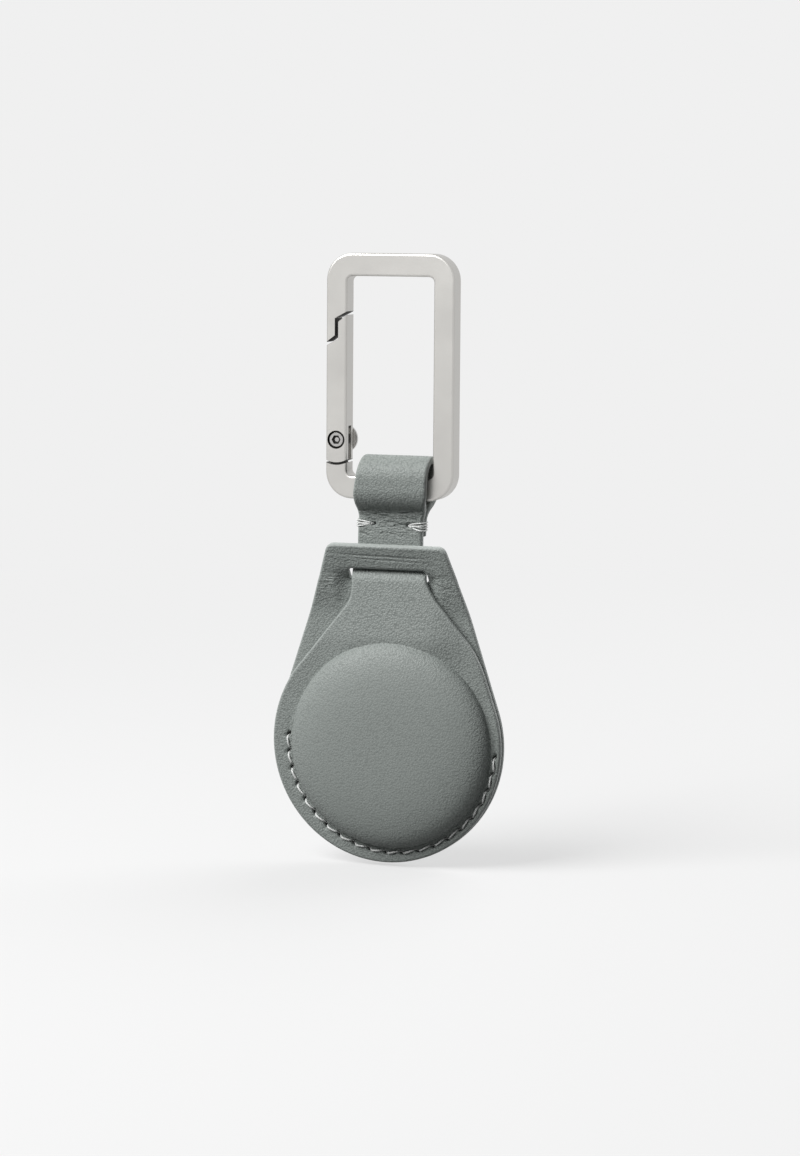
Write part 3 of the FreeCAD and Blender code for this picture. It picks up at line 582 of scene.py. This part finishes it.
def front_reach(angle):
    """Distance from the dome's middle to the front hide's inset outline: the pocket's, or the neck's slanted
    side where that is nearer, with the corner between them rounded."""
    side = np.where(np.cos(angle) > 0, 1.0, -1.0)
    toward = side * np.cos(angle) * np.cos(neck_angle) + np.sin(angle) * np.sin(neck_angle)
    away = neck_reach - edge_round + side * (neck_shift - dome_x) * np.cos(neck_angle)
    slant = away / np.maximum(toward, slant_least)
    pocket = pocket_reach(angle)
    corner = np.maximum(shoulder_round - np.abs(pocket - slant), 0)
    return np.minimum(pocket, slant) - corner ** 2 / (4 * shoulder_round)


def panel_rays(cut_half, cut_middle, cut_columns, side_rays):
    """Angles of the rays from the dome's middle, once round from the cut line's right end: along the cut,
    down the left side, along the seam and up the right side."""
    cut_x = cut_middle + np.linspace(cut_half, -cut_half, cut_columns)
    cut = np.arctan2(cut_z - dome_z, cut_x - dome_x)
    left = np.linspace(cut[-1], seam_start, side_rays)[1:-1]
    seam = np.linspace(seam_start, seam_end, seam_stitches * rays_per_stitch + 1)
    right = np.linspace(seam_end, cut[0] + 2 * np.pi, side_rays)[1:-1]
    return np.concatenate([cut, left, seam, right])


def disc(reach, radii, outer_rows):
    """Radii of a round patch's points: full circles, then rows that spread evenly to the outline."""
    spread = np.linspace(0, 1, outer_rows + 1)[1:, None]
    return np.vstack([radii[:, None] * np.ones_like(reach), radii[-1] + (reach - radii[-1]) * spread])


def outward(points):
    """Unit direction to the right of a closed line at each of its points."""
    step = np.roll(points, -1, axis=0) - np.roll(points, 1, axis=0)
    step = step / np.hypot(*step.T)[:, None]
    return np.stack([step[:, 1], -step[:, 0]], axis=1)


def neck_half(along):
    """Half width of the front hide from the cut line on: the slanted side, the neck's hollow curve, the
    strap, its waist at the tacks and its narrower crest over the bar."""
    z = height_at(front_path, along)
    rise = np.clip(z, cut_z - below_cut, neck_z)
    line = (neck_reach - (rise - dome_z) * np.sin(neck_angle)) / np.cos(neck_angle)
    hollow = neck_x - np.sqrt(np.maximum(neck_radius ** 2 - (rise - neck_z) ** 2, 0.0))
    width = np.where(rise < neck_z - neck_radius * np.sin(neck_angle), line, hollow)
    width = np.where(along > length_at(front_path, neck_z), strap_half, width)
    waist = waist_depth * np.interp(z, waist_heights, [0.0, 1.0, 1.0, 0.0])
    pinch = crest_pinch * bump(along, loop_crest - crest_pinch_reach, loop_crest + crest_pinch_reach)
    return width - waist - pinch


def strap_drift(along):
    """How far the hide lies to the right: a smooth step down the neck, and a raised cosine about the loop's
    crest."""
    down_neck = neck_shift * smooth_step(-height_at(front_path, along), *neck_shift_band)
    return down_neck + crest_shift * bump(
        along, loop_crest - crest_shift_reach, loop_crest + crest_shift_reach)


def mouth_bulge(along):
    """How far the hide stands forward of the sewn panel below the slot."""
    bulge = panel_y - np.interp(along, front_path[0], front_path[1][:, 0])
    return np.where(along < length_at(front_path, slot_foot_z), np.maximum(bulge, 0), 0)


def bent_back(x, along):
    """How far the neck's sides bend back to the flap: most of the bulge, with a smooth step outwards."""
    return neck_bend * mouth_bulge(along) * smooth_step(np.abs(x - neck_shift), *neck_bend_band)


cut_length, crumple_start, crumple_end = (
    length_at(front_path, z) for z in (cut_z, crumple_low, crumple_high))
strap_rows = np.concatenate([
    np.linspace(cut_length, crumple_start, neck_rows),
    np.linspace(crumple_start, crumple_end, crumple_rows)[1:],
    np.linspace(crumple_end, front_path[0][-1] - edge_round, loop_rows)[1:]])
strap_full = neck_half(strap_rows)
strap_slope = np.gradient(strap_full, strap_rows)
strap_inset = strap_full - edge_round * np.sqrt(1 + strap_slope ** 2)
cut_half = (neck_reach - edge_round - (cut_z - dome_z) * np.sin(neck_angle)) / np.cos(neck_angle)
rays = panel_rays(cut_half, neck_shift, strap_columns, front_side_rays)
reach = front_reach(rays)
reach[:strap_columns] = (cut_z - dome_z) / np.sin(rays[:strap_columns])
strap_share = np.linspace(1, -1, strap_columns)
strap_inset[0] = cut_half

crumple = np.vstack([
    strokes(5, 40, (-5.4, 5.4), (-43.8, -40.0), (0.6, 1.9), (0.12, 0.20), (0.09, 0.21), 0.25),
    strokes(6, 26, (-5.2, 5.2), (-45.4, -41.8), (0.4, 1.1), (0.10, 0.16), (0.05, 0.12), 0.50)])
tack_pits = [
    (hole_x, hole_z, tack_pit_length, tack_pit_width, tack_pit_depth, 0.0) for hole_x, hole_z in tack_holes]

front_hide = Shell()
radius = disc(reach, np.concatenate([dome_outer[::-1, 0], seam_rows]), outer_rows=5)
x, z = around_dome(radius, rays)
along = length_at(front_path, z)
fade = np.clip((reach - radius) / stitch_fade, 0, 1)
dome_push = np.minimum(bent_back(x, along), mouth_bulge(along) - height_in(dome_outer, radius))
pressed, pierced_here = stitch_marks(radius, rays)
front_hide.add(
    laid(front_path, x, along, hide / 2 - fade * pressed, dome_push),
    closed=True, pierced=fade * pierced_here)
radius = disc(reach, dome_inner[::-1, 0], outer_rows=6)
x, z = around_dome(radius, rays)
along = length_at(front_path, z)
dome_push = np.minimum(bent_back(x, along), mouth_bulge(along) - height_in(dome_inner, radius))
met = sewn_together(radius, rays, reach)
front_hide.add(laid(front_path, x, along, -hide / 2 - met, dome_push), closed=True)

along = strap_rows[:, None] * np.ones(strap_columns)
drift = strap_drift(along)
x = strap_inset[:, None] * strap_share
z = height_at(front_path, along)
rising = along < length_at(front_path, loop_shoulder_z)
inside = np.clip((1 - np.abs(strap_share)) / crease_fade, 0, 1)
needled = rising * creased(x, z, tack_pits)
folded = rising * (
    bump(z, *folded_band) + slot_fold * bump(z, *slot_fold_band) * np.abs(strap_share) ** 4)
front_hide.add(
    laid(front_path, x + drift, along, hide / 2 - inside * (rising * creased(x, z, crumple) + needled),
         bent_back(x + drift, along)),
    pierced=np.clip(needle_dark * needled - pit_dark_from, 0, 1), crumpled=folded)
front_hide.add(laid(front_path, x + drift, along, -hide / 2, bent_back(x + drift, along)))

panel = slice(strap_columns - 1, None)
panel_x, panel_z = around_dome(reach[panel], rays[panel])
panel_x, panel_z = np.append(panel_x, neck_shift + cut_half), np.append(panel_z, cut_z)
drift = strap_drift(strap_rows)
tail_x = (strap_inset[-1] * strap_share)[1:-1] + drift[-1]
loop_x = np.concatenate([panel_x, (drift + strap_inset)[1:], tail_x, (drift - strap_inset)[:0:-1]])
loop_along = np.concatenate([
    length_at(front_path, panel_z), strap_rows[1:], np.full(len(tail_x), strap_rows[-1]),
    strap_rows[:0:-1]])
loop_out = outward(np.stack([loop_x, loop_along], axis=1))
out, lift = edge_section()
front_hide.add(
    laid(front_path, loop_x + out * loop_out[:, 0], loop_along + out * loop_out[:, 1], lift,
         bent_back(loop_x, loop_along)),
    closed=True, edge=painted_edge(lift))
front_piece = front_hide.piece("front_hide", leather)
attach(front_piece, "pouch")
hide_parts("front_leather")

# Rear hide: the same calf, moulded flatter behind the tag and cut with a flap above the pocket. A punched
# slot lets the strap through, and the bar of leather above it leans forward over the strap. Its edges and
# its slot are painted.
rear_corners = [(-0.7, -105.3), (-0.7, -53.0), (-2.25, -51.1), (-3.56, -46.5)]
rear_bends = [1.8, 3.0]
side_corners, side_bends = [(-0.7, -105.3), (-0.7, -59.0), (-3.56, -46.5)], [14.0]
slot_half, slot_low, slot_high, slot_corner = 7.3, -53.35, -51.05, 0.8
rear_foot, rear_foot_inside, rear_fullness = 18.3, 16.9, 9.0
lean_band = (7.2, 10.2)
cut_columns, flap_side_points, flap_top_points = 81, 57, 81
rear_side_rays, flap_front_rows, flap_back_rows = 60, 27, 13
crease_rise = 10
beside_slot, beside_width, beside_band, beside_crumple = 6.4, 1.6, (-59.5, -48.5), 0.35
above_slot_band, above_slot_crumple = (-51.0, -47.6), 0.2


def arc(middle_x, middle_z, radius, start, end, count=24):
    """Points of an arc between two angles."""
    angle = np.linspace(start, end, count)
    return np.stack([middle_x + radius * np.cos(angle), middle_z + radius * np.sin(angle)], axis=1)


def evenly(points, count):
    """The same line with its points an even length apart."""
    run = np.append(0, np.cumsum(np.hypot(*np.diff(points, axis=0).T)))
    wanted = np.linspace(0, run[-1], count)
    return np.stack([np.interp(wanted, run, points[:, axis]) for axis in (0, 1)], axis=1)


def flap_lean(x, z):
    """How far the flap's sides lean forward of its middle: from the bent middle to a straighter line, with a
    smooth step outwards from the slot."""
    straight, middle = (
        np.interp(z, place[:, 1], place[:, 0]) for place in (side_path[1], rear_path[1]))
    return smooth_step(np.abs(x), *lean_band) * (straight - middle)


rear_path = bent(rear_corners, rear_bends)
side_path = bent(side_corners, side_bends)
rear_outer = dome_profile(rear_foot, dome_crown, rear_fullness)
rear_inner = dome_profile(rear_foot_inside, dome_crown, rear_fullness)[::2]
cut_half = (panel_radius - edge_round - (cut_z - dome_z) * np.sin(flap_angle)) / np.cos(flap_angle)
rays = panel_rays(cut_half, 0.0, cut_columns, rear_side_rays)
reach = pocket_reach(rays)
reach[:cut_columns] = (cut_z - dome_z) / np.sin(rays[:cut_columns])

rear_hide = Shell()
for rings, profile, lift in (
        (np.concatenate([rear_outer[::-1, 0], seam_rows]), rear_outer, -hide / 2),
        (rear_inner[::-1, 0], rear_inner, hide / 2)):
    radius = disc(reach, rings, outer_rows=5)
    x, z = around_dome(radius, rays)
    along = length_at(rear_path, z)
    fade = np.clip((reach - radius) / stitch_fade, 0, 1) * (lift < 0)
    pressed, pierced_here = stitch_marks(radius, rays, across_sign=-1.0)
    met = sewn_together(radius, rays, reach) * (lift > 0)
    rear_hide.add(
        laid(rear_path, x, along, lift + fade * pressed + met, height_in(profile, radius)),
        closed=True, pierced=fade * pierced_here)

inset_corner = flap_corner - edge_round
right_side = np.vstack([
    [(cut_half, cut_z)],
    arc(flap_corner_x, flap_corner_z, inset_corner, flap_angle, np.pi / 4)])
top_side = np.vstack([
    arc(flap_corner_x, flap_corner_z, inset_corner, np.pi / 4, np.pi / 2),
    arc(-flap_corner_x, flap_corner_z, inset_corner, np.pi / 2, 3 * np.pi / 4)])
mirror = np.array([-1, 1])
outer_sides = [
    np.stack([np.linspace(-cut_half, cut_half, cut_columns), np.full(cut_columns, cut_z)], axis=1),
    evenly(right_side, flap_side_points), evenly(top_side, flap_top_points),
    evenly(right_side, flap_side_points)[::-1] * mirror]
grown = slot_corner + edge_round
slot_x = slot_half - slot_corner
slot_bottom, slot_top = slot_low + slot_corner, slot_high - slot_corner
slot_right = np.vstack([
    arc(slot_x, slot_bottom, grown, -np.pi / 4, 0),
    arc(slot_x, slot_top, grown, 0, np.pi / 4)])
slot_upper = np.vstack([
    arc(slot_x, slot_top, grown, np.pi / 4, np.pi / 2),
    arc(-slot_x, slot_top, grown, np.pi / 2, 3 * np.pi / 4)])
slot_under = slot_upper[::-1] * np.array([1, -1]) + np.array([0, slot_low + slot_high])
slot_sides = [
    evenly(slot_under, cut_columns), evenly(slot_right, flap_side_points),
    evenly(slot_upper, flap_top_points), evenly(slot_right, flap_side_points)[::-1] * mirror]
outer_loop = np.vstack([side[:-1] for side in outer_sides])
slot_loop = np.vstack([side[:-1] for side in slot_sides])

flap_creases = np.vstack([
    [(-1.0, -48.65, 7.6, 0.14, 0.13, -0.02), (0.6, -49.35, 6.6, 0.14, 0.10, -0.03)],
    strokes(11, 26, (-9.4, 9.4), (-50.6, -48.6), (0.6, 2.0), (0.09, 0.14), (0.02, 0.05), 0.12),
    strokes(12, 26, (8.6, 11.6), (-57.5, -51.5), (0.4, 1.1), (0.09, 0.14), (0.03, 0.07), 0.35),
    strokes(13, 26, (-11.6, -8.6), (-57.5, -51.5), (0.4, 1.1), (0.09, 0.14), (0.03, 0.07), 0.35)])
for rows, lift in ((flap_front_rows, hide / 2), (flap_back_rows, -hide / 2)):
    share = np.linspace(0, 1, rows)[:, None, None]
    spread = slot_loop + (outer_loop - slot_loop) * share
    x, z = spread[..., 0], spread[..., 1]
    along = length_at(rear_path, z)
    calm = np.clip(crease_rise * np.minimum(share, 1 - share)[..., 0], 0, 1) * (lift > 0)
    beside = np.clip((np.abs(x) - beside_slot) / beside_width, 0, 1) * bump(z, *beside_band)
    folded = np.clip(beside_crumple * beside + above_slot_crumple * bump(z, *above_slot_band), 0, 1)
    rear_hide.add(
        laid(rear_path, x, along, lift - calm * creased(x, z, flap_creases), flap_lean(x, z)),
        closed=True, crumpled=(lift > 0) * folded)

panel = slice(cut_columns - 1, None)
flap_loop = np.vstack([side[:-1] for side in outer_sides[1:]])
edge_loop = np.vstack([np.stack(around_dome(reach[panel], rays[panel]), axis=1), flap_loop])
out, lift = edge_section()
for loop, away in ((edge_loop, outward(edge_loop)), (slot_loop, -outward(slot_loop))):
    x, z = loop[:, 0] + out * away[:, 0], loop[:, 1] + out * away[:, 1]
    rear_hide.add(
        laid(rear_path, x, length_at(rear_path, z), lift, flap_lean(loop[:, 0], loop[:, 1])),
        closed=True, edge=painted_edge(lift))
rear_piece = rear_hide.piece("rear_hide", leather)
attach(rear_piece, "pouch")
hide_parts("rear_leather")

# Seam threads: waxed three-ply polyester in a lockstitch round the pocket. The upper thread shows in front
# and the bobbin thread behind. Each stitch slants a little, and both threads dive into the needle slits and
# lock between the hides.
thread_pale = (0.82, 0.83, 0.815, 1.0)
thread_grey = (0.60, 0.61, 0.60, 1.0)
thread_gloss, thread_roughness, wax_roughness, wax_scale = 0.6, 0.36, 0.14, 2600.0
strand_scale, strand_depth = 9000.0, 0.00002
thread_radius, thread_plies, ply_lay, ply_depth = 0.19, 3, 1.0, 0.14
thread_lift, thread_arch, thread_dive, dive_width = 0.17, 0.05, 1.05, 0.19
stitch_slant, stitch_samples = 0.30, 34
front_face_y, back_face_y = -2.9, 0.0

thread = Finish("waxed_thread", {"Specular IOR Level": thread_gloss})
wax = thread.noise(thread.place, wax_scale, detail=3.0)
thread.set({
    "Base Color": thread.mixed(wax, thread_grey, thread_pale),
    "Roughness": thread_roughness + wax_roughness * wax,
})
thread.raise_by(thread.noise(thread.place, strand_scale), strand_depth)


def twisted(middle, normal, radius, sides=20):
    """Tube along a line whose section has one lobe per ply and turns with the lay:
    radius * (1 - depth + depth * cos(plies * (angle - 2 pi length / lay)))."""
    run = np.append(0, np.cumsum(np.linalg.norm(np.diff(middle, axis=0), axis=1)))[:, None]
    angle = np.linspace(0, 2 * np.pi, sides, endpoint=False)
    ply = np.cos(thread_plies * (angle - 2 * np.pi * run / ply_lay))
    return tube(middle, normal, radius * (1 - ply_depth + ply_depth * ply), sides)


stitch = np.linspace(0, seam_stitches, seam_stitches * stitch_samples + 1)
part_way = stitch - np.minimum(np.floor(stitch), seam_stitches - 1)
dive = np.exp(-(np.minimum(part_way, 1 - part_way) / dive_width) ** 2)
angle = seam_start + (seam_end - seam_start) * stitch / seam_stitches
for name, node, face_y, facing, slant in (
        ("seam_thread_front", "seam_top_thread", front_face_y, -1.0, stitch_slant),
        ("seam_thread_back", "seam_bobbin_thread", back_face_y, 1.0, -stitch_slant)):
    x, z = around_dome(seam_radius + slant * (1 - 2 * part_way) * (1 - dive ** 4), angle)
    height = face_y + facing * (thread_lift + thread_arch * np.sin(np.pi * part_way) - thread_dive * dive)
    middle = np.stack([x, height, z], axis=1)
    away = np.stack([np.cos(angle), 0 * angle, np.sin(angle)], axis=1)
    seam = Shell()
    seam.add(twisted(middle, away, thread_radius), closed=True)
    seam_piece = seam.piece(name, thread)
    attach(seam_piece, "pouch")
    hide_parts(node)

# Tacks: four turns of a thinner thread at each edge of the strap, just under the bar, that close the loop.
# They share one needle hole, fan out unevenly over the edge and pull the strap in. Each turn is a
# superellipse seen from above.
tack_thread, tack_edge, tack_half_depth, tack_square = 0.145, 6.13, 1.56, 6.0
turn_looseness, turn_phase, needle_dip = 0.05, 5.0, 0.42
turn_samples = 96
for name, node, (hole_x, hole_z), fan, bow in (
        ("tack_left", "tack_thread_left", tack_holes[0],
         (0.62, 0.24, -0.12, -0.48), (0.10, -0.16, 0.14, -0.05)),
        ("tack_right", "tack_thread_right", tack_holes[1],
         (0.50, 0.06, -0.38, -0.86), (0.16, -0.10, 0.12, -0.14))):
    turn = np.linspace(0, len(fan), len(fan) * turn_samples + 1)
    number = np.minimum(turn.astype(int), len(fan) - 1)
    angle = np.pi + 2 * np.pi * turn
    across = np.sign(np.cos(angle)) * np.abs(np.cos(angle)) ** (2 / tack_square)
    depth = np.sign(np.sin(angle)) * np.abs(np.sin(angle)) ** (2 / tack_square)
    out = 0.5 + 0.5 * across
    spread = np.array(fan)[number] * out + np.array(bow)[number] * np.sin(np.pi * out)
    lifted = tack_half_depth + turn_looseness * np.cos(turn_phase * number) - needle_dip * (1 - out) ** 2
    x = hole_x + (np.copysign(tack_edge, hole_x) - hole_x) * out
    middle = np.stack([x, lifted * depth, hole_z + spread], axis=1)
    up = np.broadcast_to((0.0, 0.0, 1.0), middle.shape)
    tack = Shell()
    tack.add(twisted(middle, up, tack_thread), closed=True)
    tack_piece = tack.piece(name, thread)
    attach(tack_piece, "pouch")
    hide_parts(node)

# Stage: a plain pale floor just under the pouch, a large soft lamp up on the left in front, a weak one on
# the right, one behind that isn't mirrored in the metal, and a pale room. The camera stands where the
# photograph was taken, with an 800 by 1156 picture.
floor_z, floor_half = -0.1039, 3.0
floor_grey, floor_roughness = (0.72, 0.72, 0.72, 1.0), 0.9
floor_bounce = (0.08, 0.08, 0.08, 1.0)
floor_glow, floor_glow_band = 0.66, (0.10, 0.50)
room_pale = (0.871, 0.871, 0.871, 1.0)
ambient_colour, ambient_strength = (0.95, 0.98, 1.0, 1.0), 0.075
lamp_aim = Vector((0.0, 0.0, -0.05))
sensor_width, clip_near, clip_far = 36.0, 0.01, 20.0
photo_focal, photo_width, photo_height = 3480.0, 800.0, 1156.0
turn_right, look_down, roll = np.radians(19.0), np.radians(6.4), np.radians(0.4)
camera_distance = 0.605
seen_point, seen_pixel = Vector((0.0, -0.0019, 0.0)), (390.2, 276.6)


def looked_at(nodes):
    """1 where the camera or a reflection sees the surface, 0 where it only gives light."""
    kinds = ("Is Camera Ray", "Is Glossy Ray", "Is Transmission Ray")
    camera_ray, glossy_ray, clear_ray = (nodes.add("ShaderNodeLightPath", {}, {}, kind) for kind in kinds)
    return nodes.ramp(camera_ray + glossy_ray + clear_ray, 0.0, 1.0)


floor_mesh = bpy.data.meshes.new("floor")
floor_mesh.from_pydata([
    (-floor_half, -floor_half, floor_z), (floor_half, -floor_half, floor_z),
    (floor_half, floor_half, floor_z), (-floor_half, floor_half, floor_z)], [], [(0, 1, 2, 3)])
floor = bpy.data.objects.new("floor", floor_mesh)
bpy.context.scene.collection.objects.link(floor)
floor_finish = Finish("pale_floor", {"Base Color": floor_grey, "Roughness": floor_roughness})
floor_mesh.materials.append(floor_finish.material)
glow = floor_finish.add("ShaderNodeEmission", {}, {"Color": room_pale, "Strength": 1.0})
away = floor_finish.add("ShaderNodeVectorMath", {"operation": "LENGTH"}, {0: floor_finish.place}, "Value")
pale_share = floor_glow + (1.0 - floor_glow) * floor_finish.ramp(away, *floor_glow_band)
shown = floor_finish.add("ShaderNodeMixShader", {}, {
    0: pale_share, 1: Reading(floor_finish, floor_finish.shader.outputs[0]), 2: glow})
bounce = floor_finish.add("ShaderNodeBsdfDiffuse", {}, {"Color": floor_bounce})
shown = floor_finish.add("ShaderNodeMixShader", {}, {0: looked_at(floor_finish), 1: bounce, 2: shown})
floor_finish.tree.links.new(shown.socket, floor_finish.tree.nodes["Material Output"].inputs["Surface"])

world = bpy.data.worlds.new("studio")
world.use_nodes = True
bpy.context.scene.world = world
room = Nodes(world.node_tree)
ambient = room.add("ShaderNodeBackground", {}, {"Color": ambient_colour, "Strength": ambient_strength})
pale = room.add("ShaderNodeBackground", {}, {"Color": room_pale, "Strength": 1.0})
shown = room.add("ShaderNodeMixShader", {}, {0: looked_at(room), 1: ambient, 2: pale})
room.tree.links.new(shown.socket, room.tree.nodes["World Output"].inputs["Surface"])

for name, place, size, power, mirrored in (
        ("key_lamp", (-0.34, -0.44, 0.48), 0.50, 8.9, True),
        ("fill_lamp", (0.60, -0.45, 0.10), 0.60, 0.2, True),
        ("back_lamp", (0.20, 0.62, 0.34), 0.80, 6.0, False)):
    lamp_data = bpy.data.lights.new(name, "AREA")
    lamp_data.size = size
    lamp_data.energy = power
    lamp = bpy.data.objects.new(name, lamp_data)
    lamp.location = place
    lamp.visible_glossy = mirrored
    lamp.rotation_euler = (lamp_aim - lamp.location).to_track_quat("-Z", "Y").to_euler()
    bpy.context.scene.collection.objects.link(lamp)

camera_data = bpy.data.cameras.new("photo_camera")
camera_data.sensor_width = sensor_width
camera_data.lens = sensor_width * photo_focal / photo_height
camera_data.clip_start, camera_data.clip_end = clip_near, clip_far
camera = bpy.data.objects.new("photo_camera", camera_data)
ahead = Vector((
    -np.sin(turn_right) * np.cos(look_down), np.cos(turn_right) * np.cos(look_down), -np.sin(look_down)))
level = Vector((np.cos(turn_right), np.sin(turn_right), 0.0))
upright = level.cross(ahead)
right = level * np.cos(roll) + upright * np.sin(roll)
up = right.cross(ahead)
turned_to = Matrix((right, up, -ahead)).transposed()
offset = Vector((
    (seen_pixel[0] - photo_width / 2) / photo_focal,
    -(seen_pixel[1] - photo_height / 2) / photo_focal, -1.0))
camera.location = seen_point - turned_to @ (offset * camera_distance)
camera.rotation_euler = turned_to.to_euler()
bpy.context.scene.collection.objects.link(camera)
bpy.context.scene.camera = camera
bpy.context.scene.view_settings.view_transform = "Standard"
